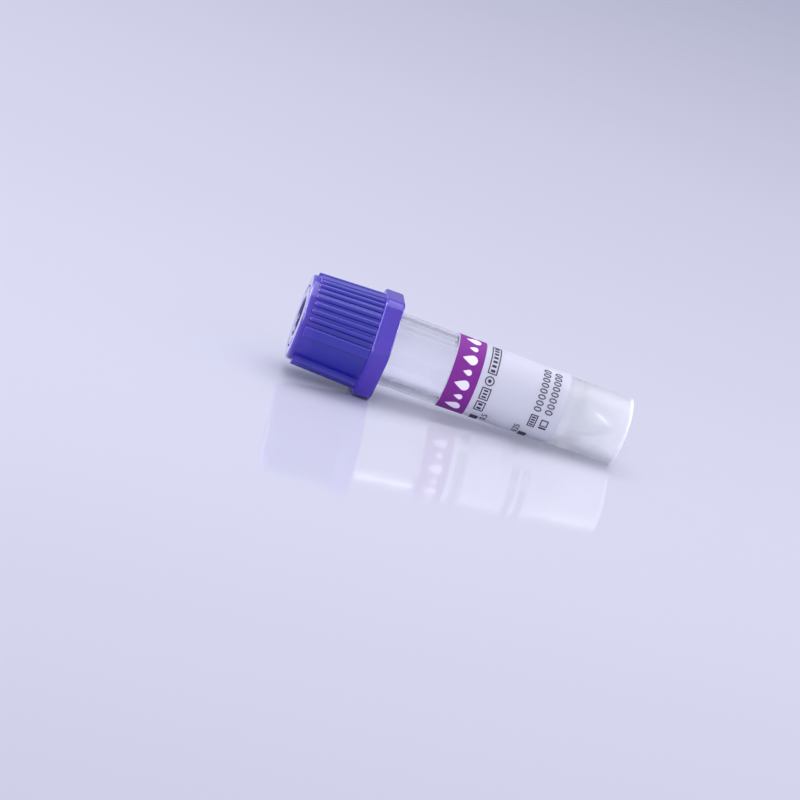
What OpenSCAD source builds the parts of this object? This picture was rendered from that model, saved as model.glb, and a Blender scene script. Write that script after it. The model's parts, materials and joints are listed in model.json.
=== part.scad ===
// Capped micro blood collection tube, lying on its side.
// Each piece is drawn upright about its own axis: z runs from the tube's open foot up to the cap's face,
// and x is the side that ends on top. lying() then lays the whole tube down on the cap's flat and its foot.

/* [Tube] */
// Length from the foot to the mouth
tube_length = 38.5; // [34:0.1:44]
// Outer radius of the straight foot
foot_radius = 4.4; // [4.2:0.01:4.5]
// Length of the straight foot
foot_length = 7.5; // [6:0.5:8]
// Outer radius at the mouth, after the draft
mouth_radius = 4.73; // [4.6:0.01:4.8]
// Wall round the sample space, which widens with the draft
tube_wall = 0.95; // [0.8:0.01:1]
// Wall of the skirt around the foot
skirt_wall = 0.85; // [0.7:0.05:1]
// Height of the sample space's lowest point over the foot
tip_height = 2.7; // [1.8:0.1:3]
// Height of the conical bottom
cone_height = 4.3; // [3.5:0.1:5]
// Wall of the conical bottom, measured along the axis
cone_wall = 1.1; // [0.8:0.1:1.3]
// Radius of the blunt tip inside the cone
tip_radius = 0.6; // [0.3:0.1:1]
// Rounding of the foot's and the mouth's edges
edge_round = 0.3; // [0.1:0.05:0.4]

/* [Cap] */
// How far the cap reaches down over the tube from the mouth
cap_overlap = 7.5; // [6:0.1:9]
// Thickness of the cap's top over the stopper
cap_top = 2.6; // [1.5:0.05:3.5]
// Distance across the flats of the six-sided flange
flange_flats = 12.8; // [12.4:0.05:14]
// Corner radius of the flange
flange_round = 2.3; // [1:0.1:4]
// Height of the flange
flange_height = 2.4; // [1.5:0.1:3]
// Radius of the cap's plain surface at the flange
skirt_low_radius = 5.65; // [5.55:0.05:5.8]
// Radius of the cap's plain surface at the ribs' upper ends
skirt_high_radius = 5.3; // [5.2:0.05:5.5]
// Radius of the round face
face_radius = 5.4; // [5.3:0.05:5.6]
// Height of the plain ring between the ribs and the face
face_ring = 0.75; // [0.4:0.05:1]
// Rounding of the face's edge
face_round = 0.25; // [0.1:0.05:0.3]
// Radial clearance between the cap and the tube's mouth
cap_gap = 0.1; // [0.05:0.01:0.2]

/* [Ribs] */
// Fine ribs in each of the two grip zones
ribs_per_zone = 10; // [4:2:12]
// Angle from one fine rib to the next
rib_pitch = 10.45; // [8:0.05:10.5]
// Radius of a fine rib's round back
rib_radius = 0.36; // [0.25:0.01:0.4]
// How far a fine rib's back stands out of the cap
rib_rise = 0.3; // [0.15:0.01:0.35]
// Angle from a zone's middle to the wide bar beside it
bar_angle = 63.5; // [61:0.5:66]
// Width of a wide bar
bar_width = 1.35; // [0.8:0.05:1.6]
// How far a wide bar stands out of the cap
bar_rise = 0.8; // [0.4:0.05:0.9]
// Rounding of a wide bar's outer edges
bar_round = 0.2; // [0.1:0.05:0.3]

/* [Needle port] */
// Radius of the hole in the cap's face
port_radius = 2.5; // [2:0.05:2.8]
// Chamfer at the hole's mouth
port_chamfer = 0.25; // [0.1:0.05:0.4]
// Middle radius of the turning arrows sunk in the face
arrow_radius = 3.9; // [3.6:0.05:4.2]
// Width of an arrow's line
arrow_line = 0.24; // [0.1:0.02:0.4]
// Width and length of an arrow's head
arrow_head = 0.8; // [0.5:0.05:1]
// Depth of the arrows
arrow_depth = 0.15; // [0.05:0.05:0.3]
// Angle that an arrow's line covers
arrow_sweep = 75; // [40:5:80]

/* [Stopper] */
// Length of the plug inside the tube
plug_length = 4.2; // [3:0.1:6]
// Thickness of the head between the mouth and the cap's top
head_height = 1.25; // [0.8:0.05:2]
// Radial clearance between the plug and the sample space
plug_gap = 0.05; // [0.02:0.01:0.1]
// Clearance between the head and the pieces around it
head_gap = 0.05; // [0.02:0.01:0.1]
// Radius of the needle well in the stopper
well_radius = 2.2; // [1.8:0.05:2.4]
// Thickness of the membrane that a needle pierces
membrane = 1.6; // [1:0.1:2.5]
// Rounding of the plug's lower edge
plug_round = 0.4; // [0.2:0.05:0.6]

/* [Label] */
// Volume at the lower graduation, and from it to the upper one, in microlitres
grad_volume = 250; // [200:10:280]
// How far the label reaches below the lower graduation
label_below = 3.5; // [2.5:0.1:4]
// Angle that the label wraps round the tube
label_wrap = 200; // [190:1:240]
// Angle from the top, towards the front, of the label's near edge
label_edge = 162.5; // [140:0.5:170]
// Thickness of the film
label_film = 0.08; // [0.05:0.01:0.12]
// Rounding of the label's corners
label_round = 1.5; // [0.5:0.1:2]
// Layer of adhesive under the film and of varnish under the print
glue_gap = 0.01; // [0.005:0.005:0.02]
// Thickness of the print
print_film = 0.03; // [0.02:0.01:0.05]
// From the upper graduation up to the coloured band
band_above = 1.35; // [1.2:0.05:2]
// Height of the coloured band
band_height = 3.5; // [2:0.1:4]
// Plain border between the band and the label's edges
band_border = 0.1; // [0.05:0.05:0.3]
// Length of a graduation bar along the tube
grad_length = 1; // [0.6:0.1:1.4]
// Width of a graduation bar round the tube
grad_width = 1.5; // [0.8:0.1:2]

/* [Hidden] */
$fn = 96;
eps = 0.01;
// Rounds stand this little proud of the flats beside them, so that their surfaces cross cleanly
seam = 0.005;

// The stopper's head sits on the mouth, and the cap's top sits on the head
head_low = tube_length + head_gap;
head_high = head_low + head_height;
cap_ceiling = head_high + head_gap;
cap_face = cap_ceiling + cap_top;
cap_low = tube_length - cap_overlap;
flange_high = cap_low + flange_height;
ribs_high = cap_face - face_ring;
ribs_length = ribs_high - flange_high;
cap_bore = mouth_radius + cap_gap;
bore_lead = 0.3;
draft = (mouth_radius - foot_radius) / (tube_length - foot_length);
rib_lean = atan((skirt_low_radius - skirt_high_radius) / ribs_length);
function outer_radius(s) = foot_radius + max(0, s - foot_length) * draft;
function bore_radius(s) = outer_radius(s) - tube_wall;

// Height over the foot at which the sample space holds a volume, from its cone and its drafted bore
cone_high = tip_height + cone_height;
bore_low = bore_radius(cone_high);
cone_volume = PI * cone_height / 3 * (pow(tip_radius, 2) + tip_radius * bore_low + pow(bore_low, 2));
function fill_height(volume) = cone_high
    + (pow(pow(bore_low, 3) + 3 * draft * (volume - cone_volume) / PI, 1 / 3) - bore_low) / draft;

// The cap's two grip zones are opposite each other, each with its middle over a corner of the flange
zone_angles = [30, 210];
flange_apothem = flange_flats / 2;

// Lying, the tube touches the floor with the flange's lower flat edge and the foot's rounded rim
rest_run = cap_low - edge_round;
rest_radius = flange_apothem + seam;
rest_drop = rest_radius - foot_radius + edge_round;
tilt = acos(edge_round / norm([rest_drop, rest_run])) - atan2(rest_run, rest_drop);
rest_height = rest_radius * cos(tilt) - cap_low * sin(tilt);
foot_x = (foot_radius - edge_round) * sin(tilt) - edge_round * cos(tilt) + edge_round;
face_x = -(face_radius - face_round) * sin(tilt) - (cap_face - face_round) * cos(tilt) - face_round;

// The label and its band keep their places beside the two graduations
low_level = fill_height(grad_volume);
high_level = fill_height(2 * grad_volume);
label_low = low_level - label_below;
band_low = high_level + band_above;
band_high = band_low + band_height;
label_high = band_high + band_border;
label_far = label_edge - label_wrap;
corner_seam = 0.06;
print_radius = outer_radius((label_low + label_high) / 2) + label_film + 2 * glue_gap;
function arc(width) = width / print_radius * 180 / PI;
function from_edge(inset) = label_edge - arc(inset);

// Each mark starts this far in from the label's near edge
grad_inset = 0.1;
symbol_inset = 2.85;
row_insets = [3.25, 3.85];
dash_inset = 5.6;
mark_line = 0.14;
symbol_height = 1.2;
symbol_widths = [1.5, 1.6, 1.2, 4.8];
symbol_gap = 0.28;
function symbol_at(i) = i == 0 ? symbol_inset : symbol_at(i - 1) + symbol_widths[i - 1] + symbol_gap;
row_height = 0.95;
row_drop = 0.36;
row_pitch = 1.46;
row_boxes = [1.85, 0.95];
dashes = 8;
dash_pitch = 0.79;
dash_width = 0.6;

// Lays an upright piece down, with the cap towards -X and the foot towards +X
module lying() {
    translate([-(foot_x + face_x) / 2, 0, rest_height]) rotate([0, tilt - 90, 0]) children();
}

// Turns a piece from the top towards the front
module around(angle) { rotate([0, 0, -angle]) children(); }

// A revolved piece of outline, cut at the axis
module turned() { rotate_extrude() children(); }

// A bar of round section along z with one round end, for the fine ribs
module round_bar(radius, length) {
    turned() intersection() {
        union() {
            square([radius, length]);
            translate([0, length]) circle(radius);
        }
        square([radius, length + radius]);
    }
}

// A rectangle with two rounded corners on its +x side, centred on y
module crowned(depth, width, round) {
    translate([0, -width / 2]) square([depth - round, width]);
    translate([0, round - width / 2]) square([depth, width - 2 * round]);
    for (side = [-1, 1]) translate([depth - round, side * (width / 2 - round)]) circle(round);
}

// The flange's outline: three bars across the flats and a round in each corner
module flange_outline() {
    inner = flange_apothem - flange_round;
    for (turn = [0, 60, 120]) rotate(turn) square([flange_flats, 2 * inner * tan(30)], center = true);
    for (turn = [30 : 60 : 330])
        rotate(turn) translate([(inner + seam) / cos(30), 0]) circle(flange_round);
}

// A thin curved patch that follows the tube's draft, standing off by lift
module patch(low, high, from, to, lift, thick) {
    around(to) rotate_extrude(angle = to - from) polygon([
        [outer_radius(low) + lift, low], [outer_radius(low) + lift + thick, low],
        [outer_radius(high) + lift + thick, high], [outer_radius(high) + lift, high]]);
}

// What a rounded corner of the label loses: a square less a round, seen from outside
module corner_loss(edge_s, edge_angle, s_side, turn_side) {
    inset = label_round - corner_seam;
    reach = foot_radius * 2;
    around(edge_angle - turn_side * inset / outer_radius(edge_s) * 180 / PI)
        translate([0, 0, edge_s - s_side * inset]) rotate([0, 90, 0]) difference() {
            translate([s_side > 0 ? -label_round * 2 : 0, turn_side > 0 ? -label_round * 2 : 0, 0])
                cube([label_round * 2, label_round * 2, reach]);
            translate([0, 0, -eps]) cylinder(r = label_round, h = reach + 2 * eps);
        }
}

// One moulded vessel: a sample space with a conical bottom, inside a skirt that forms the foot
module tube() {
    color([0.86, 0.88, 0.95, 0.5]) lying() difference() {
        turned() {
            square([foot_radius - edge_round, foot_length]);
            translate([0, edge_round]) square([foot_radius, foot_length - edge_round]);
            translate([foot_radius - edge_round, edge_round]) circle(edge_round);
            polygon([[0, foot_length], [foot_radius, foot_length],
                [outer_radius(tube_length - edge_round), tube_length - edge_round],
                [mouth_radius - edge_round, tube_length], [0, tube_length]]);
        }
        sample_space();
        foot_hollow();
    }
}

// The space that holds the sample
module sample_space() {
    knee = max(foot_length, cone_high + eps);
    mouth = bore_radius(tube_length);
    turned() polygon([[0, tip_height], [tip_radius, tip_height], [bore_low, cone_high],
        [bore_radius(knee), knee], [mouth, tube_length], [mouth, tube_length + eps],
        [0, tube_length + eps]]);
}

// The open hollow inside the foot, up to the underside of the conical bottom
module foot_hollow() {
    hollow = foot_radius - skirt_wall;
    tip = tip_height - cone_wall;
    slope = cone_height / (bore_radius(0) - tip_radius);
    turned() polygon([[0, -eps], [hollow, -eps], [hollow, tip + (hollow - tip_radius) * slope],
        [tip_radius, tip], [0, tip]]);
}

// Soft plug with a head on the mouth and a well for the needle
module stopper() {
    low = tube_length - plug_length;
    plug = bore_radius(low) - plug_gap;
    head = cap_bore - head_gap;
    color([0.13, 0.13, 0.2]) lying() difference() {
        turned() {
            translate([0, low]) square([plug - plug_round, plug_length + head_gap + head_height]);
            translate([0, low + plug_round]) square([plug, plug_length - plug_round + head_height]);
            translate([plug - plug_round, low + plug_round]) circle(plug_round);
            translate([0, head_low]) square([head, head_height]);
        }
        translate([0, 0, low + membrane])
            cylinder(r = well_radius, h = plug_length + head_height + head_gap);
    }
}

// The two turning arrows, each a sunk curved line with a head at its end
module arrows() {
    for (zone = zone_angles) around(zone) translate([0, 0, cap_face - arrow_depth]) {
        rotate_extrude(angle = arrow_sweep) translate([arrow_radius - arrow_line / 2, 0])
            square([arrow_line, arrow_depth + eps]);
        rotate([0, 0, arrow_sweep]) translate([arrow_radius, 0, 0]) linear_extrude(arrow_depth + eps)
            polygon([[-arrow_head / 2, -eps], [arrow_head / 2, -eps], [0, arrow_head]]);
    }
}

// The ribs and bars of one grip zone, leaning with the cap's draft
module grip_zone() {
    for (i = [0 : ribs_per_zone - 1]) around((i - (ribs_per_zone - 1) / 2) * rib_pitch)
        translate([skirt_low_radius + rib_rise - rib_radius, 0, flange_high - eps])
            rotate([0, -rib_lean, 0]) round_bar(rib_radius, ribs_length / cos(rib_lean) - rib_radius);
    for (side = [-1, 1]) around(side * bar_angle)
        translate([skirt_low_radius - bar_rise, 0, flange_high - eps]) rotate([0, -rib_lean, 0])
            linear_extrude(ribs_length / cos(rib_lean)) crowned(2 * bar_rise, bar_width, bar_round);
}

// Cap shell: flange, drafted skirt with its ribs, and a round face with the needle port
module cap() {
    color([0.3, 0.24, 0.69]) lying() difference() {
        union() {
            translate([0, 0, cap_low]) linear_extrude(flange_height) flange_outline();
            translate([0, 0, flange_high - eps])
                cylinder(r1 = skirt_low_radius, r2 = skirt_high_radius, h = ribs_length + eps);
            turned() {
                translate([0, ribs_high - eps]) square([face_radius, face_ring - face_round + eps]);
                translate([0, ribs_high - eps]) square([face_radius - face_round, face_ring + eps]);
                translate([face_radius - face_round, cap_face - face_round]) circle(face_round);
            }
            for (zone = zone_angles) around(zone) grip_zone();
        }
        turned() polygon([[0, cap_low - eps], [cap_bore + bore_lead, cap_low - eps],
            [cap_bore, cap_low + bore_lead], [cap_bore, cap_ceiling], [port_radius, cap_ceiling],
            [port_radius, cap_face - port_chamfer], [port_radius + port_chamfer, cap_face],
            [port_radius + port_chamfer, cap_face + eps], [0, cap_face + eps]]);
        arrows();
    }
}

// Thin film wrapped a little more than half way round the tube
module label() {
    color([0.85, 0.86, 0.94]) lying() difference() {
        patch(label_low, label_high, label_far, label_edge, glue_gap, label_film);
        corner_loss(label_high, label_edge, 1, 1);
        corner_loss(label_low, label_edge, -1, 1);
        corner_loss(label_high, label_far, 1, -1);
        corner_loss(label_low, label_far, -1, -1);
    }
}

// Print on the film, between two heights and two angles
module printed(low, high, from, to) {
    patch(low, high, from, to, label_film + 2 * glue_gap, print_film);
}

// Coloured band round the label's upper part
module label_band() {
    color([0.55, 0.18, 0.6]) lying() difference() {
        printed(band_low, band_high, label_far + arc(band_border), label_edge - arc(band_border));
        corner_loss(label_high - band_border / 2, label_edge - arc(band_border / 2), 1, 1);
        corner_loss(label_high - band_border / 2, label_far + arc(band_border / 2), 1, -1);
    }
}

// An outlined box, such as stands round a short mark
module box_mark(middle, height, start, width) {
    low = middle - height / 2;
    stop = start - arc(width);
    difference() {
        printed(low, low + height, stop, start);
        patch(low + mark_line, low + height - mark_line, stop + arc(mark_line), start - arc(mark_line),
            label_film, print_film * 2);
    }
}

// Dark print: the graduation bars, a row of plain symbols and two rows of dashes behind a box
module label_marks() {
    color([0.16, 0.16, 0.2]) lying() {
        for (level = [low_level, high_level])
            printed(level - grad_length / 2, level + grad_length / 2,
                from_edge(grad_inset + grad_width), from_edge(grad_inset));
        for (i = [0 : len(symbol_widths) - 1])
            box_mark(high_level, symbol_height, from_edge(symbol_at(i)), symbol_widths[i]);
        for (row = [0, 1]) {
            middle = low_level - row_drop - row * row_pitch;
            box_mark(middle, row_height, from_edge(row_insets[row]), row_boxes[row]);
            for (i = [0 : dashes - 1])
                printed(middle - row_height / 2, middle + row_height / 2,
                    from_edge(dash_inset + i * dash_pitch + dash_width),
                    from_edge(dash_inset + i * dash_pitch));
        }
    }
}

tube();
stopper();
cap();
label();
label_band();
label_marks();
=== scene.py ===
"""A capped micro blood collection tube, lying on a pale glossy floor.

Every piece is drawn upright, in millimetres, about the tube's own axis: z runs from the open foot up to the
cap's face, and x is the side that ends on top. The matrix `lay` then puts the finished mesh in its place.
"""

import json
import math

import bmesh
import bpy
import numpy as np
from mathutils import Matrix, Vector


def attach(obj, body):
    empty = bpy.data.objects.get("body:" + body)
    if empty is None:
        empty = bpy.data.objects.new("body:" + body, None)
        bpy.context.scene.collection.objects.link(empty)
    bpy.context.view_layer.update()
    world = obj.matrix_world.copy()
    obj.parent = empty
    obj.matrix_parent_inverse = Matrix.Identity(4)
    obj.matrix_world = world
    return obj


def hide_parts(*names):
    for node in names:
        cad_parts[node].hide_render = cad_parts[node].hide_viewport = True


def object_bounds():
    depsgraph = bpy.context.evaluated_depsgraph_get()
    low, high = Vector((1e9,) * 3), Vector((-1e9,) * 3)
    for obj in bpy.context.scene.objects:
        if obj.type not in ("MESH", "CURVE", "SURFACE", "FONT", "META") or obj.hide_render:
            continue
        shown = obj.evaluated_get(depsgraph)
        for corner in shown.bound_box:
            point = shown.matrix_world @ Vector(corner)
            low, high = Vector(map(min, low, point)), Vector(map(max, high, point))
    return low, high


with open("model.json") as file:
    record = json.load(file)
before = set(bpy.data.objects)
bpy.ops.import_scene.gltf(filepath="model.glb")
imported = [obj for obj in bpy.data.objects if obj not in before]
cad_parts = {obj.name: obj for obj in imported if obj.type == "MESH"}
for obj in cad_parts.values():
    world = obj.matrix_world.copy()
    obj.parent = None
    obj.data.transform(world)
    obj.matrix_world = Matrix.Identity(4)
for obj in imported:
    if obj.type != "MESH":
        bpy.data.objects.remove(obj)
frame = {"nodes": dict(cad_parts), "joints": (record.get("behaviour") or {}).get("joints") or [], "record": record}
cad_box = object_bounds()


# ---- The axis -----------------------------------------------------------------------------------
# The cap is pulled off along the tube's axis, so that joint gives its direction. The foot's mount lies on
# the axis, and the tube's own lowest point along it is where z = 0.

mm = 0.001
joints = {joint["name"]: joint for joint in frame["joints"]}
mounts = {mount["name"]: mount for mount in frame["record"]["mounts"]}
along = Vector(joints["cap_pull"]["axis"]).normalized()
away = Vector((0, 1, 0))
on_axis = Vector(mounts["foot"]["pos_m"])
foot_drop = min((vertex.co - on_axis).dot(along) for vertex in frame["nodes"]["tube"].data.vertices)
foot_end = on_axis + along * foot_drop
turned = Matrix((away.cross(along), away, along)).transposed().to_4x4()
lay = Matrix.Translation(foot_end) @ turned @ Matrix.Scale(mm, 4)
stand = lay.inverted()


def reach(node):
    """A CAD node's lowest and highest place along the axis, and its largest radius, in mm."""
    points = np.array([stand @ vertex.co for vertex in frame["nodes"][node].data.vertices])
    return points[:, 2].min(), points[:, 2].max(), np.hypot(points[:, 0], points[:, 1]).max()


# ---- Floor, light and camera --------------------------------------------------------------------
# A pale lavender acrylic table that mirrors the tube softly, in a bright room with a wide soft lamp above.
# Lower lamps light the tube alone. The camera looks nearly along the table and leans to one side.

floor_size = 12.0
# The floor is painted darker on its near side, from the far colour to the near one: painted shade, not a tone of
# the acrylic
floor_far = (0.77, 0.775, 0.865)
floor_near_shaded = (0.60, 0.605, 0.69)
floor_near_end = -0.22
floor_fill = (0.90, 0.90, 1.0)
floor_grain = 60.0
floor_gloss = (0.05, 0.09)
sky_bright = (1.10, 1.10, 1.17)
sky_dim = (0.34, 0.35, 0.49)
sky_bright_side = Vector((-0.55, -0.7, 0.3))
sky_dim_end = -0.75
sky_seen = 1.0
sky_fill = 0.93
# Each lamp's place from the middle of the tube, which they all face, and its width, in metres
lamps = {
    "above": {"place": (0.0, 0.2, 0.93), "size": 1.0, "watts": 4.5, "colour": (0.94, 0.92, 1.0)},
    "left": {"place": (-0.72, 0.20, 0.36), "size": 0.9, "watts": 5.0, "colour": (0.97, 0.97, 1.0)},
    "front": {"place": (-0.55, -0.8, 0.28), "size": 0.45, "watts": 3.2, "colour": (0.96, 0.96, 1.0)},
    "left_front": {"place": (-0.95, 0.08, 0.26), "size": 0.22, "watts": 1.2, "colour": (0.98, 0.97, 1.0)},
    "left_back": {"place": (-0.75, 0.50, 0.42), "size": 0.22, "watts": 1.2, "colour": (0.98, 0.97, 1.0)},
    "low_right": {"place": (0.90, 0.28, 0.27), "size": 0.6, "watts": 7.0, "colour": (0.97, 0.97, 1.0)},
}
camera_azimuth = math.radians(6.21)
camera_elevation = math.radians(12.84)
camera_roll = math.radians(17.51)
camera_distance = 0.3687
camera_lens = 135
aim_offset = Vector((-0.00628, -0.00066, -0.00584))


def add(tree, kind, inputs=None, **settings):
    """Adds a node with its settings. Its inputs, by name or number, are links or values."""
    node = tree.nodes.new(kind)
    for name, value in settings.items():
        setattr(node, name, value)
    for key, value in (inputs or {}).items():
        if isinstance(value, bpy.types.NodeSocket):
            tree.links.new(value, node.inputs[key])
        else:
            node.inputs[key].default_value = value
    return node


def maths(tree, operation, first, second=0.0):
    """One step of arithmetic on links or numbers."""
    return add(tree, "ShaderNodeMath", {0: first, 1: second}, operation=operation).outputs[0]


def share_between(tree, value, low, high, **settings):
    """How far a value has come from low, where this is 0, to high, where it is 1."""
    ends = {"Value": value, "From Min": low, "From Max": high}
    return add(tree, "ShaderNodeMapRange", ends, **settings).outputs["Result"]


def spread(tree, share, low, high):
    """A share from 0 to 1 made to run from low to high."""
    return add(tree, "ShaderNodeMapRange", {"Value": share, "To Min": low, "To Max": high}).outputs["Result"]


def mix_colour(tree, share, first, second):
    """A colour that runs from the first at 0 to the second at 1, each a link or red, green and blue."""
    inputs = {"Factor": share}
    for socket, colour in (("A", first), ("B", second)):
        inputs[socket] = colour if isinstance(colour, bpy.types.NodeSocket) else (*colour, 1)
    return add(tree, "ShaderNodeMix", inputs, data_type="RGBA").outputs["Result"]


def new_material(name, **values):
    """A material with one Principled shader, whose plain values are set on its own sockets."""
    material = bpy.data.materials.new(name)
    material.use_nodes = True
    shader = material.node_tree.nodes["Principled BSDF"]
    for socket, value in values.items():
        shader.inputs[socket.replace("_", " ")].default_value = value
    return material, material.node_tree, shader


def grain(tree, size):
    """A noise whose grains are about size mm across, as a value from 0 to 1."""
    place = add(tree, "ShaderNodeTexCoord").outputs["Object"]
    noise = {"Vector": place, "Scale": 1 / (size * mm), "Detail": 2.0}
    return add(tree, "ShaderNodeTexNoise", noise).outputs["Fac"]


def seen_ray(tree):
    """1 where the camera, a gloss or a clear piece looks, and 0 for the soft light that a thing gives off."""
    path = add(tree, "ShaderNodeLightPath").outputs
    seen = maths(tree, "MAXIMUM", path["Is Camera Ray"], path["Is Glossy Ray"])
    return maths(tree, "MAXIMUM", seen, path["Is Transmission Ray"])


def make_floor_material():
    """Acrylic with painted shade that deepens towards its near side, with a faint unevenness in its gloss."""
    material, tree, shader = new_material("floor_acrylic", IOR=1.3)
    place = add(tree, "ShaderNodeSeparateXYZ", {0: add(tree, "ShaderNodeTexCoord").outputs["Object"]})
    # Painted shade: the floor darkens towards its near side
    out_of_shade = share_between(tree, place.outputs["Y"], floor_near_end, 0.0, interpolation_type="SMOOTHSTEP")
    shown = mix_colour(tree, out_of_shade, floor_near_shaded, floor_far)
    tree.links.new(mix_colour(tree, seen_ray(tree), floor_fill, shown), shader.inputs["Base Color"])
    tree.links.new(spread(tree, grain(tree, floor_grain), *floor_gloss), shader.inputs["Roughness"])
    return material


floor_mesh = bpy.data.meshes.new("floor")
half = floor_size / 2
floor_corners = [(-half, -half, 0), (half, -half, 0), (half, half, 0), (-half, half, 0)]
floor_mesh.from_pydata(floor_corners, [], [(0, 1, 2, 3)])
floor_mesh.materials.append(make_floor_material())
floor = bpy.data.objects.new("floor", floor_mesh)
bpy.context.scene.collection.objects.link(floor)

world = bpy.data.worlds.new("sky")
world.use_nodes = True
air = world.node_tree
background = air.nodes["Background"]
direction = add(air, "ShaderNodeTexCoord").outputs["Generated"]
compared = {0: direction, 1: sky_bright_side.normalized()}
to_bright = add(air, "ShaderNodeVectorMath", compared, operation="DOT_PRODUCT").outputs["Value"]
sky = mix_colour(air, share_between(air, to_bright, sky_dim_end, 1.0), sky_dim, sky_bright)
air.links.new(sky, background.inputs["Color"])
air.links.new(spread(air, seen_ray(air), sky_fill, sky_seen), background.inputs["Strength"])
bpy.context.scene.world = world

# Only the lamp above lights the floor: the lower ones would glare in its gloss and throw hard shadows.
off_floor = bpy.data.collections.new("off_floor")
off_floor.objects.link(floor)
off_floor.collection_objects[0].light_linking.link_state = "EXCLUDE"
middle = (Vector(cad_box[0]) + Vector(cad_box[1])) / 2
for name, lamp in lamps.items():
    light = bpy.data.lights.new(name, "AREA")
    light.shape = "DISK"
    light.size = lamp["size"]
    light.energy = lamp["watts"]
    light.color = lamp["colour"]
    holder = bpy.data.objects.new(name, light)
    holder.location = middle + Vector(lamp["place"])
    holder.rotation_euler = (-Vector(lamp["place"])).to_track_quat("-Z", "Y").to_euler()
    holder.visible_camera = False
    if name != "above":
        holder.light_linking.receiver_collection = off_floor
    bpy.context.scene.collection.objects.link(holder)

view = Vector((
    math.sin(camera_azimuth) * math.cos(camera_elevation),
    math.cos(camera_azimuth) * math.cos(camera_elevation),
    -math.sin(camera_elevation),
))
camera_place = Matrix.Translation(middle + aim_offset - view * camera_distance)
level = view.to_track_quat("-Z", "Y").to_matrix().to_4x4()
camera = bpy.data.objects.new("camera", bpy.data.cameras.new("camera"))
camera.data.lens = camera_lens
camera.data.sensor_width = 36
camera.data.clip_start = 0.01
camera.data.clip_end = 50
camera.matrix_world = camera_place @ level @ Matrix.Rotation(camera_roll, 4, "Z")
bpy.context.scene.collection.objects.link(camera)
bpy.context.scene.camera = camera
bpy.context.scene.view_settings.view_transform = "Standard"


# ---- Tube ---------------------------------------------------------------------------------------
# One clear, slightly milky polypropylene moulding: a drafted bore with a conical bottom, which hangs
# inside a skirt that forms the open foot. It is a turned outline with rounded rims.

tube_wall = 0.95
skirt_wall = 0.85
straight_foot = 7.5
tip_height = 2.7
cone_height = 4.3
cone_wall = 1.1
tip_radius = 0.6
rim_round = 0.3
inner_round = 0.15
turns = 216
foot_radius = mounts["foot"]["dims"]["r_mm"]
mouth_height, mouth_radius = reach("tube")[1:]
draft = (mouth_radius - foot_radius) / (mouth_height - straight_foot)
tube_tint = (0.962, 0.968, 1.0)
tube_grain = 2.0
tube_gloss = (0.03, 0.05)
tube_ripple = 0.00002
# Heights between which the foot's frost, and its rim's white, which is partly frost and partly a painted
# highlight, fade out
frost_fade = (9.5, 12.5)
rim_fade = (0.2, 0.5)
frost_rough = 0.24
foot_clear = 0.78
body_clear = 0.95
rim_white_and_highlight = 0.4


def outer_radius(height):
    """The tube's outer radius at a height over the foot."""
    return foot_radius + max(0.0, height - straight_foot) * draft


def eased(corners, steps=5):
    """The corners (radius, height, rounding) of an outline as points, with an arc at each rounded one."""
    points = []
    for i, (radius, height, rounding) in enumerate(corners):
        corner = Vector((radius, height))
        if rounding == 0:
            points.append(corner)
            continue
        back = (Vector(corners[i - 1][:2]) - corner).normalized()
        on = (Vector(corners[(i + 1) % len(corners)][:2]) - corner).normalized()
        opening = back.angle(on) / 2
        centre = corner + (back + on).normalized() * rounding / math.sin(opening)
        first = corner + back * rounding / math.tan(opening) - centre
        last = corner + on * rounding / math.tan(opening) - centre
        for step in range(steps + 1):
            points.append(centre + first.lerp(last, step / steps).normalized() * rounding)
    return points


def as_mesh(shape, name):
    """A shape that is finished, as a mesh."""
    mesh = bpy.data.meshes.new(name)
    shape.to_mesh(mesh)
    shape.free()
    return mesh


def skin(rings, closed=False):
    """A mesh through rings (radius or radii, height). A ring of radius 0 is a pole on the axis."""
    shape = bmesh.new()
    angles = np.arange(turns) * math.tau / turns
    loops = []
    for radius, height in rings:
        if np.ndim(radius) == 0 and radius < 1e-6:
            loops.append([shape.verts.new((0, 0, height))] * turns)
            continue
        radii = np.broadcast_to(radius, turns)
        loops.append([
            shape.verts.new((r * math.cos(a), -r * math.sin(a), height)) for r, a in zip(radii, angles)
        ])
    pairs = list(zip(loops, loops[1:])) + ([(loops[-1], loops[0])] if closed else [])
    for low, high in pairs:
        for k in range(turns):
            n = (k + 1) % turns
            corners = dict.fromkeys((low[k], low[n], high[n], high[k]))
            if len(corners) > 2:
                shape.faces.new(corners)
    bmesh.ops.recalc_face_normals(shape, faces=shape.faces)
    return as_mesh(shape, "skin")


def final_mesh(holder):
    """An object's mesh with its modifiers, or its letters, worked out."""
    bpy.context.view_layer.update()
    evaluated = holder.evaluated_get(bpy.context.evaluated_depsgraph_get())
    return bpy.data.meshes.new_from_object(evaluated)


def finish_piece(name, mesh, body, slot, *nodes, material=None, crease=35):
    """Lays a mesh in its place as a piece that rides on a body and stands for its CAD nodes."""
    mesh.transform(lay)
    mesh.name = name
    mesh.shade_smooth()
    mesh.set_sharp_from_angle(angle=math.radians(crease))
    if material:
        mesh.materials.clear()
        mesh.materials.append(material)
    piece = bpy.data.objects.new(name, mesh)
    bpy.context.scene.collection.objects.link(piece)
    flats_first = piece.modifiers.new("flats first", "WEIGHTED_NORMAL")
    flats_first.keep_sharp = True
    piece.data = final_mesh(piece)
    piece.data.name = name
    piece.modifiers.clear()
    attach(piece, body)
    if nodes:
        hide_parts(*nodes)


def from_foot(tree):
    """The way from the middle of the foot's end to each place on a piece, in metres."""
    place = add(tree, "ShaderNodeTexCoord").outputs["Object"]
    return add(tree, "ShaderNodeVectorMath", {0: place, 1: -foot_end}, operation="ADD").outputs[0]


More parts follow.
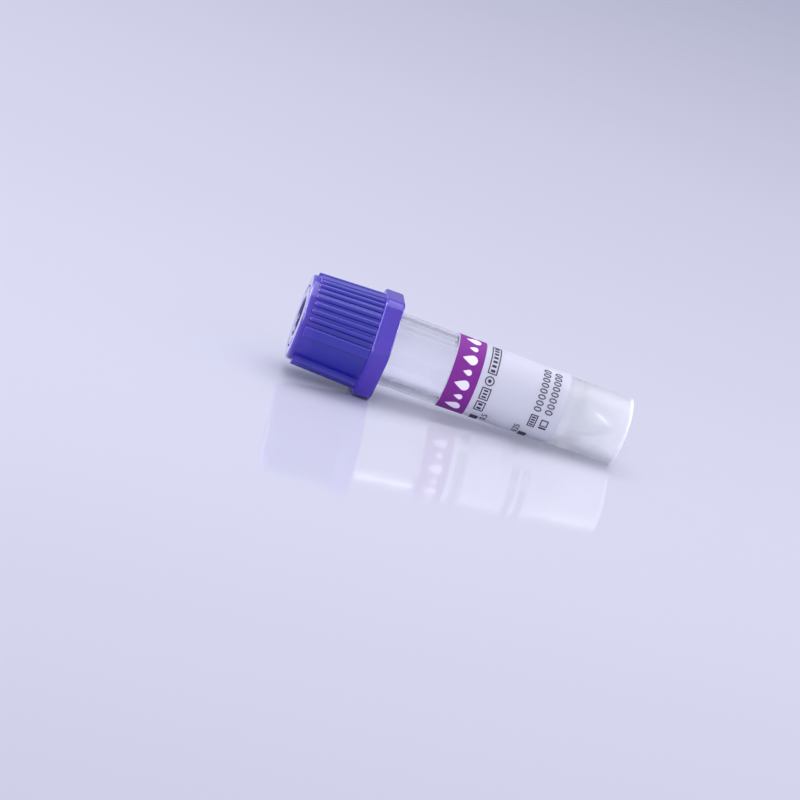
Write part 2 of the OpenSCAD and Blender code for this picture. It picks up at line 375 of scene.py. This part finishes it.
def height_share(tree, low, high):
    """A value that runs from 0 at one height over the foot, in mm, to 1 at another."""
    climbed = {0: from_foot(tree), 1: along}
    height = add(tree, "ShaderNodeVectorMath", climbed, operation="DOT_PRODUCT").outputs["Value"]
    return share_between(tree, height, low * mm, high * mm)


def roughen(tree, shader, size, low, high, bump):
    """Grain of one size in a shader's roughness, from low to high, and in its surface, bump mm deep."""
    value = grain(tree, size)
    tree.links.new(spread(tree, value, low, high), shader.inputs["Roughness"])
    raised = add(tree, "ShaderNodeBump", {"Height": value, "Distance": bump * mm, "Strength": 1.0})
    tree.links.new(raised.outputs["Normal"], shader.inputs["Normal"])


def make_tube_material():
    """Clear plastic whose foot is frosted by the mould, and whose cut rim is whiter still: partly frost, partly a
    painted highlight for the light that the wall carries to it.
    """
    material, tree, shader = new_material("tube_plastic", Base_Color=(*tube_tint, 1), IOR=1.34)
    roughen(tree, shader, tube_grain, *tube_gloss, tube_ripple)
    smooth = shader.inputs["Roughness"].links[0].from_socket
    off_foot = height_share(tree, *frost_fade)
    rough = maths(tree, "ADD", smooth, spread(tree, off_foot, frost_rough, 0.0))
    tree.links.new(rough, shader.inputs["Roughness"])
    # The rim is made less clear, so whiter: partly frost, partly a painted highlight
    whiter = spread(tree, height_share(tree, *rim_fade), rim_white_and_highlight, 0.0)
    clear = maths(tree, "SUBTRACT", spread(tree, off_foot, foot_clear, body_clear), whiter)
    tree.links.new(clear, shader.inputs["Transmission Weight"])
    return material


hollow = foot_radius - skirt_wall
cone_high = tip_height + cone_height
cone_slope = cone_height / (foot_radius - tube_wall - tip_radius)
tip_under = tip_height - cone_wall
tube_outline = [
    (0, tip_under, 0),
    (tip_radius, tip_under, inner_round),
    (hollow, tip_under + (hollow - tip_radius) * cone_slope, 0),
    (hollow, 0, rim_round),
    (foot_radius, 0, rim_round),
    (foot_radius, straight_foot, 0),
    (mouth_radius, mouth_height, rim_round),
    (outer_radius(mouth_height) - tube_wall, mouth_height, inner_round),
    (outer_radius(straight_foot) - tube_wall, straight_foot, 0),
    (foot_radius - tube_wall, cone_high, 0),
    (tip_radius, tip_height, inner_round),
    (0, tip_height, 0),
]
finish_piece(
    "tube_body", skin(eased(tube_outline)), "vessel", "tube_plastic", "tube",
    material=make_tube_material(),
)


# ---- Stopper ------------------------------------------------------------------------------------
# A dark moulded rubber plug. Its head sits on the tube's mouth under the cap, and a well in its middle
# leaves only a thin membrane for the needle to pierce.

head_height = 1.25
plug_gap = 0.05
well_radius = 2.2
membrane = 1.6
plug_round = 0.4
head_round = 0.1
plug_low, head_high, head_radius = reach("stopper")
head_low = head_high - head_height
plug_radius = outer_radius(plug_low) - tube_wall - plug_gap
rubber_dark = (0.012, 0.010, 0.030)
rubber_grain = 0.25
rubber_gloss = (0.45, 0.65)
rubber_ripple = 0.004


def make_rubber_material():
    """Dark matte rubber with a fine grain."""
    material, tree, shader = new_material("stopper_rubber", Base_Color=(*rubber_dark, 1))
    roughen(tree, shader, rubber_grain, *rubber_gloss, rubber_ripple)
    return material


stopper_outline = [
    (0, plug_low, 0),
    (plug_radius, plug_low, plug_round),
    (plug_radius, head_low, 0),
    (head_radius, head_low, head_round),
    (head_radius, head_high, head_round),
    (well_radius, head_high, head_round),
    (well_radius, plug_low + membrane, head_round),
    (0, plug_low + membrane, 0),
]
finish_piece(
    "stopper_plug", skin(eased(stopper_outline)), "plug", "stopper_rubber", "stopper",
    material=make_rubber_material(),
)


# ---- Label --------------------------------------------------------------------------------------
# A thin matte film that is glued a little more than half way round the tube. It is drawn flat, as it is
# printed, with x from its near edge and y up the tube, and then given its thickness and wrapped.

film = 0.08
glue = 0.01
print_film = 0.03
# How far the film, the print on it and the print on that stand off the tube
layer_lifts = (glue, film + 2 * glue, film + print_film + 3 * glue)
weld_distance = 0.0005
label_round = 1.5
label_low, label_high = reach("label")[:2]
print_radius = outer_radius((label_low + label_high) / 2) + layer_lifts[1]
film_white = (0.75, 0.755, 0.845)
film_clear = 0.45
film_grain = 0.12
film_gloss = (0.38, 0.52)
film_ripple = 0.0015


def turn_range(node):
    """The angles from the top towards the front at which a CAD node starts and ends, in radians."""
    points = [stand @ vertex.co for vertex in frame["nodes"][node].data.vertices]
    angles = np.sort(np.unique(np.round([math.atan2(-p.y, p.x) for p in points], 5)))
    gaps = np.diff(np.append(angles, angles[0] + math.tau))
    widest = int(gaps.argmax())
    start = angles[(widest + 1) % len(angles)]
    if widest + 1 < len(angles):
        start -= math.tau
    return start, angles[widest]


label_far, label_edge = turn_range("label")
label_width = (label_edge - label_far) * print_radius


def flat_shape(columns):
    """A flat mesh through columns (x, lowest y, highest y)."""
    mesh = bpy.data.meshes.new("flat")
    points = [(x, y, 0) for x, low, high in columns for y in (low, high)]
    faces = [(2 * i, 2 * i + 2, 2 * i + 3, 2 * i + 1) for i in range(len(columns) - 1)]
    mesh.from_pydata(points, [], faces)
    return mesh


def flat_sheet(left, right, low, high, corner=0.0, step=0.2):
    """A rectangle whose corners are rounded, cut into columns narrow enough to bend round the tube."""
    rounded = [corner * (1 - math.cos(math.radians(a))) for a in range(0, 90, 10)] if corner else []
    straight = right - left - 2 * corner
    count = max(1, math.ceil(straight / step))
    across = [left + x for x in rounded]
    across += [left + corner + straight * i / count for i in range(count + 1)]
    across += [right - x for x in reversed(rounded)]
    columns = []
    for x in across:
        inside = min(x - left, right - x, corner)
        bite = corner - math.sqrt(max(0.0, corner ** 2 - (corner - inside) ** 2))
        columns.append((x, low + bite, high - bite))
    return flat_shape(columns)


def new_tree(name, inputs, output):
    """A Geometry Nodes tree with its named inputs, given as kind: names, and one mesh as output."""
    tree = bpy.data.node_groups.new(name, "GeometryNodeTree")
    for kind, titles in inputs.items():
        for title in titles:
            tree.interface.new_socket(title, in_out="INPUT", socket_type="NodeSocket" + kind)
    tree.interface.new_socket(output, in_out="OUTPUT", socket_type="NodeSocketGeometry")
    return tree, add(tree, "NodeGroupInput").outputs


def end_tree(tree, geometry, material):
    """Ends a tree with what it made, as one plain mesh of one material."""
    plain = add(tree, "GeometryNodeRealizeInstances", {"Geometry": geometry})
    coloured = add(tree, "GeometryNodeSetMaterial", {"Geometry": plain.outputs[0], "Material": material})
    tree.links.new(coloured.outputs[0], add(tree, "NodeGroupOutput").inputs[0])


def build_wrap():
    """The tree that gives flat print its thickness and wraps it round the drafted tube."""
    tree, given = new_tree("wrap_print", {
        "Geometry": ["Flat print"],
        "Float": ["Thickness", "Lift", "Near edge", "Print radius", "Foot radius", "Straight foot", "Draft"],
        "Material": ["Material"],
    }, "Wrapped print")
    upper = add(tree, "GeometryNodeExtrudeMesh", {
        "Mesh": given["Flat print"], "Individual": False,
        "Offset": (0, 0, 1), "Offset Scale": given["Thickness"],
    })
    under = add(tree, "GeometryNodeFlipFaces", {"Mesh": given["Flat print"]})
    both = add(tree, "GeometryNodeJoinGeometry")
    tree.links.new(upper.outputs["Mesh"], both.inputs[0])
    tree.links.new(under.outputs["Mesh"], both.inputs[0])
    welded = {"Geometry": both.outputs[0], "Distance": weld_distance}
    pale_ends = add(tree, "GeometryNodeMergeByDistance", welded)
    place = add(tree, "ShaderNodeSeparateXYZ", {0: add(tree, "GeometryNodeInputPosition").outputs[0]}).outputs
    climb = maths(tree, "MAXIMUM", maths(tree, "SUBTRACT", place["Y"], given["Straight foot"]), 0.0)
    radius = maths(tree, "ADD", given["Foot radius"], maths(tree, "MULTIPLY", climb, given["Draft"]))
    radius = maths(tree, "ADD", maths(tree, "ADD", radius, given["Lift"]), place["Z"])
    turn = maths(tree, "DIVIDE", place["X"], given["Print radius"])
    angle = maths(tree, "SUBTRACT", given["Near edge"], turn)
    forward = maths(tree, "MULTIPLY", radius, maths(tree, "SINE", angle))
    bent = add(tree, "ShaderNodeCombineXYZ", {
        "X": maths(tree, "MULTIPLY", radius, maths(tree, "COSINE", angle)),
        "Y": maths(tree, "MULTIPLY", forward, -1.0),
        "Z": place["Y"],
    }).outputs[0]
    wrapped = add(tree, "GeometryNodeSetPosition", {"Geometry": pale_ends.outputs[0], "Position": bent})
    end_tree(tree, wrapped.outputs[0], given["Material"])
    return tree


def run_tree(mesh, tree, **values):
    """Runs a tree on a mesh, with its named inputs, and gives the result as a plain mesh."""
    holder = bpy.data.objects.new("holder", mesh)
    bpy.context.scene.collection.objects.link(holder)
    modifier = holder.modifiers.new("tree", "NODES")
    modifier.node_group = tree
    for item in tree.interface.items_tree:
        key = item.name.replace(" ", "_")
        if item.in_out == "INPUT" and key in values:
            modifier[item.identifier] = values[key]
    result = final_mesh(holder)
    bpy.data.objects.remove(holder)
    return result


wrap = build_wrap()


def print_piece(name, flat, slot, layer, material, *nodes):
    """Wraps flat print as a layer over the tube: 0 is the film, 1 lies on it and 2 on that."""
    mesh = run_tree(
        flat, wrap, Thickness=print_film if layer else film, Lift=layer_lifts[layer], Near_edge=label_edge,
        Print_radius=print_radius, Foot_radius=foot_radius, Straight_foot=straight_foot, Draft=draft,
        Material=material,
    )
    finish_piece(name, mesh, "vessel", slot, *nodes, crease=40)


def make_film_material():
    """Matte white film that lets some light through."""
    material, tree, shader = new_material(
        "label_film", Base_Color=(*film_white, 1), IOR=1.34, Transmission_Weight=film_clear,
    )
    roughen(tree, shader, film_grain, *film_gloss, film_ripple)
    return material


print_piece(
    "label_sheet", flat_sheet(0, label_width, label_low, label_high, label_round), "label_film", 0,
    make_film_material(), "label",
)


# ---- Coloured band ------------------------------------------------------------------------------
# A band of violet ink near the label's upper edge, with a thin plain border and a row of white drops,
# one large and one small in turn, all printed on the film.

drop_pitch = 1.62
drop_radii = (0.62, 0.36)
drop_tip = 2.1
drop_taper = 0.75
drop_columns = 12
band_low, band_high = reach("label_band")[:2]
band_border = label_high - band_high
band_violet = ((0.150, 0.010, 0.215), (0.212, 0.019, 0.266))
white_ink = ((0.78, 0.70, 0.84), (0.84, 0.77, 0.90))
ink_gloss = (0.5, 0.65)


def make_ink_material(name, dark, light, size):
    """Matte ink that varies a little between two shades, in grains of about size mm."""
    material, tree, shader = new_material(name, IOR=1.36)
    value = grain(tree, size)
    tree.links.new(mix_colour(tree, value, dark, light), shader.inputs["Base Color"])
    tree.links.new(spread(tree, value, *ink_gloss), shader.inputs["Roughness"])
    return material


def flat_drop(radius):
    """A drop with its tip up and its round belly centred on the origin."""
    columns = []
    for k in range(-drop_columns, drop_columns + 1):
        x = radius * math.sin(math.pi / 2 * k / drop_columns)
        belly = math.sqrt(max(0.0, radius ** 2 - x ** 2))
        shoulder = drop_tip * radius * (1 - abs(x) / radius) ** drop_taper
        columns.append((x, -belly, max(belly, shoulder)))
    return flat_shape(columns)


def build_drop_row():
    """The tree that repeats a large and a small drop in turn along x."""
    tree, given = new_tree("drop_row", {
        "Geometry": ["Large drop"],
        "Int": ["Count"],
        "Float": ["Pitch", "Start", "Middle", "Small share"],
        "Material": ["Material"],
    }, "Row")
    first = add(tree, "ShaderNodeCombineXYZ", {"X": given["Start"], "Y": given["Middle"]})
    step = add(tree, "ShaderNodeCombineXYZ", {"X": given["Pitch"]})
    line = add(tree, "GeometryNodeMeshLine", {
        "Count": given["Count"], "Start Location": first.outputs[0], "Offset": step.outputs[0],
    })
    index = add(tree, "GeometryNodeInputIndex").outputs[0]
    small = maths(tree, "MODULO", index, 2.0)
    drops = add(tree, "GeometryNodeInstanceOnPoints", {
        "Points": line.outputs[0], "Instance": given["Large drop"],
        "Scale": spread(tree, small, 1.0, given["Small share"]),
    })
    end_tree(tree, drops.outputs[0], given["Material"])
    return tree


print_piece(
    "band_print", flat_sheet(band_border, label_width - band_border, band_low, band_high), "band_ink", 1,
    make_ink_material("band_ink", *band_violet, size=0.5), "label_band",
)
drop_count = int((label_width - 2 * drop_pitch) / drop_pitch) + 1
drop_ink = make_ink_material("white_ink", *white_ink, size=0.4)
drop_row = run_tree(
    flat_drop(drop_radii[0]), build_drop_row(), Count=drop_count, Pitch=drop_pitch,
    Start=(label_width - (drop_count - 1) * drop_pitch) / 2,
    Middle=(band_low + band_high) / 2 - drop_radii[0] * (drop_tip - 1) / 2,
    Small_share=drop_radii[1] / drop_radii[0], Material=drop_ink,
)
print_piece("band_drops", drop_row, "label_film", 2, drop_ink)


# ---- Dark print ---------------------------------------------------------------------------------
# Two graduation bars with their numbers, a row of plain symbols beside the upper one, and two rows of
# noughts behind a box beside the lower one, all in one dark ink on the film.

ink_dark = ((0.020, 0.018, 0.045), (0.045, 0.040, 0.080))
line_width = 0.13
grad_size = (1.5, 1.0)
grad_inset = 0.1
# Each graduation's number, where it starts, its width, and its middle over the bar's
grad_numbers = (("0.5", 1.15, 1.4, -1.1), ("0.25", 0.95, 1.9, 1.1))
grad_number_height = 0.75
# The font's size over the height of its numbers, before they are stretched to fit
font_size = 1.4
symbol_height = 1.2
symbol_inset = 2.85
symbol_gap = 0.28
# Each symbol's width and how many bars its frame holds. The one with none is a ring with a dot.
symbols = ((1.5, 2), (1.6, 3), (1.2, 0), (4.8, 7))
symbol_bar_inset = 2.2 * line_width
symbol_bar_height = 0.55
ring_dot = 0.22
row_height = 0.95
row_drop = 0.36
row_pitch = 1.46
# Where each row's box starts, and its width
row_boxes = ((3.25, 1.85), (3.85, 0.95))
row_numbers = "00000000"
row_numbers_inset = 5.6
row_numbers_width = 6.15
row_numbers_spacing = 1.15
box_bars = 4
box_bar_inset = 0.3
box_bar_height = 0.5
side_bar_inset = 0.42
side_bar_width = 0.26
marks_low, marks_high = reach("label_marks")[:2]
upper_level = marks_high - symbol_height / 2
lower_level = marks_low + row_height / 2 + row_pitch + row_drop


def flat_box(left, width, middle_y, height):
    """A filled rectangle."""
    return [flat_sheet(left, left + width, middle_y - height / 2, middle_y + height / 2)]


def flat_frame(left, width, middle_y, height):
    """An outlined rectangle."""
    reach_y = (height - line_width) / 2
    inner = height - 2 * line_width
    return (
        flat_box(left, width, middle_y - reach_y, line_width)
        + flat_box(left, width, middle_y + reach_y, line_width)
        + flat_box(left, line_width, middle_y, inner)
        + flat_box(left + width - line_width, line_width, middle_y, inner)
    )


def flat_bars(left, width, middle_y, height, count):
    """A few upright bars, evenly spaced."""
    pitch = width / (2 * count - 1)
    return [part for i in range(count) for part in flat_box(left + 2 * i * pitch, pitch, middle_y, height)]


def flat_ring(centre_x, middle_y, outside, inside, steps=32):
    """A flat ring, or a disc where inside is 0."""
    shape = bmesh.new()
    angles = [math.tau * k / steps for k in range(steps)]
    rounds = []
    for radius in (outside, max(inside, 0.001)):
        rounds.append([
            shape.verts.new((centre_x + radius * math.cos(a), middle_y + radius * math.sin(a), 0))
            for a in angles
        ])
    for k in range(steps):
        n = (k + 1) % steps
        shape.faces.new((rounds[0][k], rounds[0][n], rounds[1][n], rounds[1][k]))
    if inside == 0:
        shape.faces.new(rounds[1])
    return [as_mesh(shape, "ring")]


def flat_text(words, left, width, middle_y, height, spacing=1.0):
    """Plain numbers of a given width and height, read along the label from its near edge."""
    curve = bpy.data.curves.new("numbers", "FONT")
    curve.body = words
    curve.size = font_size * height
    curve.space_character = spacing
    writer = bpy.data.objects.new("numbers", curve)
    bpy.context.scene.collection.objects.link(writer)
    mesh = final_mesh(writer)
    bpy.data.objects.remove(writer)
    points = np.array([vertex.co for vertex in mesh.vertices])
    low, high = points.min(axis=0), points.max(axis=0)
    stretch = Matrix.Diagonal((width / (high[0] - low[0]), height / (high[1] - low[1]), 1, 1))
    corner = Matrix.Translation((left, middle_y - height / 2, 0))
    mesh.transform(corner @ stretch @ Matrix.Translation(-Vector(low)))
    return [mesh]


def merged_flat(parts):
    """Several flat meshes as one."""
    shape = bmesh.new()
    for part in parts:
        shape.from_mesh(part)
    return as_mesh(shape, "flat")


dark_parts = []
for level, (number, left, width, rise) in zip((upper_level, lower_level), grad_numbers):
    dark_parts += flat_box(grad_inset, grad_size[0], level, grad_size[1])
    dark_parts += flat_text(number, left, width, level + rise, grad_number_height)
left = symbol_inset
for width, bars in symbols:
    if bars:
        dark_parts += flat_frame(left, width, upper_level, symbol_height)
        dark_parts += flat_bars(
            left + symbol_bar_inset, width - 2 * symbol_bar_inset, upper_level, symbol_bar_height, bars
        )
    else:
        dark_parts += flat_ring(left + width / 2, upper_level, width / 2, width / 2 - line_width)
        dark_parts += flat_ring(left + width / 2, upper_level, ring_dot, 0.0)
    left += width + symbol_gap
row_levels = [lower_level - row_drop - row * row_pitch for row in range(len(row_boxes))]
for level, (left, width) in zip(row_levels, row_boxes):
    dark_parts += flat_frame(left, width, level, row_height)
    dark_parts += flat_text(
        row_numbers, row_numbers_inset, row_numbers_width, level, row_height, row_numbers_spacing
    )
left, width = row_boxes[0]
dark_parts += flat_bars(
    left + box_bar_inset, width - 2 * box_bar_inset, row_levels[0], box_bar_height, box_bars
)
dark_parts += flat_box(row_boxes[1][0] - side_bar_inset, side_bar_width, row_levels[1], row_height)
print_piece(
    "dark_print", merged_flat(dark_parts), "dark_ink", 1, make_ink_material("dark_ink", *ink_dark, size=0.3),
    "label_marks",
)


# ---- Cap ----------------------------------------------------------------------------------------
# A violet polyethylene shell pressed over the stopper: a six-sided flange with rounded edges, a drafted
# skirt with two ribbed grips between wide bars, and a round face with two sunk arrows and the needle port.

flange_flats = 12.8
flange_round = 2.3
flange_height = 2.4
flange_apothem = flange_flats / 2
skirt_low_radius = 5.65
skirt_high_radius = 5.3
face_radius = 5.4
face_ring = 0.75
cap_gap = 0.1
head_gap = 0.05
bore_lead = 0.3
edge_ease = 0.3
foot_ease = 0.12
port_radius = mounts["needle_port"]["dims"]["r_mm"]
cap_low, cap_face = reach("cap")[:2]
cap_bore = mouth_radius + cap_gap
cap_ceiling = head_high + head_gap
flange_high = cap_low + flange_height
ribs_high = cap_face - face_ring
ribs_length = ribs_high - flange_high
zone_angle = math.radians(30)
lean = math.atan((skirt_low_radius - skirt_high_radius) / ribs_length)
grip_length = ribs_length / math.cos(lean)
grip_root = 0.05
ribs_per_zone = 10
rib_pitch = math.radians(10.45)
rib_radius = 0.36
rib_rise = 0.3
# A hair under the rib's radius, so that its round end still closes on its own axis
rib_round = 0.999 * rib_radius
bar_angle = math.radians(63.5)
bar_width = 1.35
bar_rise = 0.8
bar_round = 0.2
arrow_radius = 3.9
arrow_line = 0.24
arrow_head = 0.8
arrow_depth = 0.15
arrow_sweep = math.radians(75)
arrow_steps = 20
# The ribbed middle is painted deeper and the flange and the face's end paler: partly the dark stopper showing
# through the skirt, partly painted light and shade, with a painted reflection at the face
cap_deep = (0.0105, 0.0100, 0.295)
cap_pale = (0.060, 0.024, 0.380)
# Painted shade inside the needle port
port_painted_shade = (0.018, 0.010, 0.110)
cloud_grain = 2.5
cloud_depth = (-0.5, 0.3)
cap_polish = (0.3, 1.0)
# How far from the flange, the face and the port the painted paler ends, the face's polish and the port's painted
# shade start and are full
flange_fade = 0.6
face_fade = (2.0, 0.4)
polish_fade = (0.4, 0.25)
port_fade = (0.15, 0.05)
cap_grain = 0.15
cap_gloss = (0.12, 0.20)
cap_ripple = 0.0008


def six_sided(apothem):
    """Radii of a hexagon with rounded corners, whose corner rounds keep their centres as it grows."""
    half_side = math.pi / 6
    centre = (flange_apothem - flange_round) / math.cos(half_side)
    rounding = flange_round + apothem - flange_apothem
    off_corner = (np.arange(turns) * math.tau / turns) % (2 * half_side) - half_side
    off_flat = half_side - np.abs(off_corner)
    flat = apothem / np.cos(off_flat)
    inside = np.maximum(rounding ** 2 - (centre * np.sin(off_corner)) ** 2, 0)
    round_part = centre * np.cos(off_corner) + np.sqrt(inside)
    flat_end = centre * math.sin(half_side) / apothem
    return np.where(np.tan(off_flat) < flat_end, flat, round_part)


def bar_mesh(out_of_shade, width, length, rounding):
    """A straight bar along z with its outer side towards +x, eased on its outer and upper edges."""
    shape = bmesh.new()
    bmesh.ops.create_cube(shape, size=1, matrix=Matrix.LocRotScale(
        Vector((out_of_shade / 2, 0, length / 2)), None, Vector((out_of_shade, width, length))
    ))
    outer = [e for e in shape.edges if all(v.co.x > out_of_shade / 2 for v in e.verts) and (
        any(v.co.z > length / 2 for v in e.verts)
    )]
    bmesh.ops.bevel(shape, geom=outer, offset=rounding, segments=4, profile=0.5, affect="EDGES")
    return as_mesh(shape, "bar")


def arrow_mesh():
    """A curved arrow that turns with the clock as seen on the face, as a solid to sink into it."""
    angles = [arrow_sweep * k / arrow_steps for k in range(arrow_steps + 1)]
    tip = arrow_sweep + arrow_head / arrow_radius
    outline = [(arrow_radius - arrow_line / 2, a) for a in angles]
    outline += [(arrow_radius - arrow_head / 2, arrow_sweep), (arrow_radius, tip)]
    outline += [(arrow_radius + arrow_head / 2, arrow_sweep)]
    outline += [(arrow_radius + arrow_line / 2, a) for a in reversed(angles)]
    shape = bmesh.new()
    face = shape.faces.new([
        shape.verts.new((r * math.cos(a), r * math.sin(a), cap_face - arrow_depth)) for r, a in outline
    ])
    for part in bmesh.ops.extrude_face_region(shape, geom=[face])["geom"]:
        if isinstance(part, bmesh.types.BMVert):
            part.co.z += 2 * arrow_depth
    bmesh.ops.recalc_face_normals(shape, faces=shape.faces)
    return as_mesh(shape, "arrow")


def build_grips():
    """The tree that stands ribs and bars round the cap's shell and sinks its arrows."""
    tree, given = new_tree("cap_grips", {
        "Geometry": ["Shell"],
        "Object": ["Rib", "Bar", "Arrow"],
        "Int": ["Ribs per zone"],
        "Float": ["Zone angle", "Rib pitch", "Rib radius", "Bar pitch", "Bar radius", "Base", "Lean"],
        "Material": ["Material"],
    }, "Cap")

    def in_both_zones(piece, per_zone, pitch=0.0, radius=0.0, base=0.0, tilt=0.0):
        """Copies of a piece, spread about the middle of each of the two zones."""
        index = add(tree, "GeometryNodeInputIndex").outputs[0]
        zone = maths(tree, "FLOOR", maths(tree, "DIVIDE", index, per_zone))
        half_zone = maths(tree, "DIVIDE", maths(tree, "SUBTRACT", per_zone, 1.0), 2.0)
        step = maths(tree, "SUBTRACT", maths(tree, "MODULO", index, per_zone), half_zone)
        in_zone = maths(tree, "MULTIPLY", step, pitch)
        turn = maths(tree, "ADD", in_zone, maths(tree, "MULTIPLY", zone, math.pi))
        angle = maths(tree, "MULTIPLY", maths(tree, "ADD", turn, given["Zone angle"]), -1.0)
        place = add(tree, "ShaderNodeCombineXYZ", {
            "X": maths(tree, "MULTIPLY", radius, maths(tree, "COSINE", angle)),
            "Y": maths(tree, "MULTIPLY", radius, maths(tree, "SINE", angle)),
            "Z": base,
        })
        points = add(tree, "GeometryNodePoints", {
            "Count": maths(tree, "MULTIPLY", per_zone, 2.0), "Position": place.outputs[0],
        })
        facing = add(tree, "ShaderNodeCombineXYZ", {"Y": tilt, "Z": angle})
        rotation = add(tree, "FunctionNodeEulerToRotation", {0: facing.outputs[0]})
        source = add(tree, "GeometryNodeObjectInfo", {"Object": given[piece]})
        copies = add(tree, "GeometryNodeInstanceOnPoints", {
            "Points": points.outputs[0], "Instance": source.outputs["Geometry"],
            "Rotation": rotation.outputs[0],
        })
        return add(tree, "GeometryNodeRealizeInstances", {"Geometry": copies.outputs[0]}).outputs[0]

    back = maths(tree, "MULTIPLY", given["Lean"], -1.0)
    ribs = in_both_zones(
        "Rib", given["Ribs per zone"], given["Rib pitch"], given["Rib radius"], given["Base"], back
    )
    bars = in_both_zones("Bar", 2.0, given["Bar pitch"], given["Bar radius"], given["Base"], back)
    arrows = in_both_zones("Arrow", 1.0)
    union = add(tree, "GeometryNodeMeshBoolean", operation="UNION", solver="MANIFOLD")
    for part in (given["Shell"], ribs, bars):
        tree.links.new(part, union.inputs["Mesh 2"])
    sunk = add(tree, "GeometryNodeMeshBoolean", operation="DIFFERENCE", solver="MANIFOLD")
    tree.links.new(union.outputs[0], sunk.inputs["Mesh 1"])
    tree.links.new(arrows, sunk.inputs["Mesh 2"])
    end_tree(tree, sunk.outputs[0], given["Material"])
    return tree


def axis_distance(tree):
    """The distance from the axis, in metres."""
    off_axis = {0: from_foot(tree), 1: along}
    across = add(tree, "ShaderNodeVectorMath", off_axis, operation="CROSS_PRODUCT").outputs[0]
    return add(tree, "ShaderNodeVectorMath", {0: across}, operation="LENGTH").outputs["Value"]


def make_cap_material():
    """Violet plastic with a polished face, painted paler over the flange and towards the face, partly as painted
    light, and painted darker inside the port as painted shade.
    """
    material, tree, shader = new_material(
        "cap_plastic", IOR=1.5, Coat_Roughness=0.1,
        Subsurface_Weight=0.12, Subsurface_Radius=(0.4, 0.3, 1.0), Subsurface_Scale=0.0006,
    )
    on_face = height_share(tree, cap_face - polish_fade[0], cap_face - polish_fade[1])
    tree.links.new(spread(tree, on_face, *cap_polish), shader.inputs["Coat Weight"])
    # Painted light and shade: paler towards the flange and the face, deeper between, partly the stopper showing
    # through
    at_flange = height_share(tree, flange_high + flange_fade, flange_high - flange_fade)
    at_face = height_share(tree, ribs_high - face_fade[0], cap_face + face_fade[1])
    pale_ends = maths(tree, "MAXIMUM", at_flange, at_face)
    paler = maths(tree, "ADD", pale_ends, spread(tree, grain(tree, cloud_grain), *cloud_depth))
    outside = mix_colour(tree, paler, cap_deep, cap_pale)
    # Painted shade: the port's wall is darkened
    port_start, port_full = [(port_radius + fade) * mm for fade in port_fade]
    port_shade_share = share_between(tree, axis_distance(tree), port_start, port_full)
    tree.links.new(mix_colour(tree, port_shade_share, outside, port_painted_shade), shader.inputs["Base Color"])
    roughen(tree, shader, cap_grain, *cap_gloss, cap_ripple)
    return material


shell_outline = [
    (cap_bore + bore_lead, cap_low, 0),
    (flange_apothem, cap_low, edge_ease),
    (flange_apothem, flange_high, edge_ease),
    (skirt_low_radius, flange_high, foot_ease),
    (skirt_high_radius, ribs_high, 0),
    (face_radius, ribs_high, 0),
    (face_radius, cap_face, edge_ease),
    (port_radius, cap_face, edge_ease),
    (port_radius, cap_ceiling, 0),
    (cap_bore, cap_ceiling, 0),
    (cap_bore, cap_low + bore_lead, 0),
]
# Only the flange's rings stand out further than this, and they are six-sided
round_limit = flange_apothem - 1.5 * edge_ease
shell_rings = [
    (six_sided(radius) if radius > round_limit else radius, height) for radius, height in eased(shell_outline)
]
rib_outline = [(0, 0, 0), (rib_radius, 0, 0), (rib_radius, grip_length, rib_round), (0, grip_length, 0)]
grips = {
    "Rib": skin(eased(rib_outline)),
    "Bar": bar_mesh(2 * bar_rise, bar_width, grip_length, bar_round),
    "Arrow": arrow_mesh(),
}
holders = {}
for name, mesh in grips.items():
    holders[name] = bpy.data.objects.new("cap_" + name.lower(), mesh)
    bpy.context.scene.collection.objects.link(holders[name])
cap_mesh = run_tree(
    skin(shell_rings, closed=True), build_grips(), **holders, Ribs_per_zone=ribs_per_zone,
    Zone_angle=zone_angle, Rib_pitch=rib_pitch, Rib_radius=skirt_low_radius + rib_rise - rib_radius,
    Bar_pitch=2 * bar_angle, Bar_radius=skirt_low_radius - bar_rise, Base=flange_high - grip_root, Lean=lean,
    Material=make_cap_material(),
)
for holder in holders.values():
    bpy.data.objects.remove(holder)
finish_piece("cap_shell", cap_mesh, "closure", "cap_plastic", "cap", crease=30)
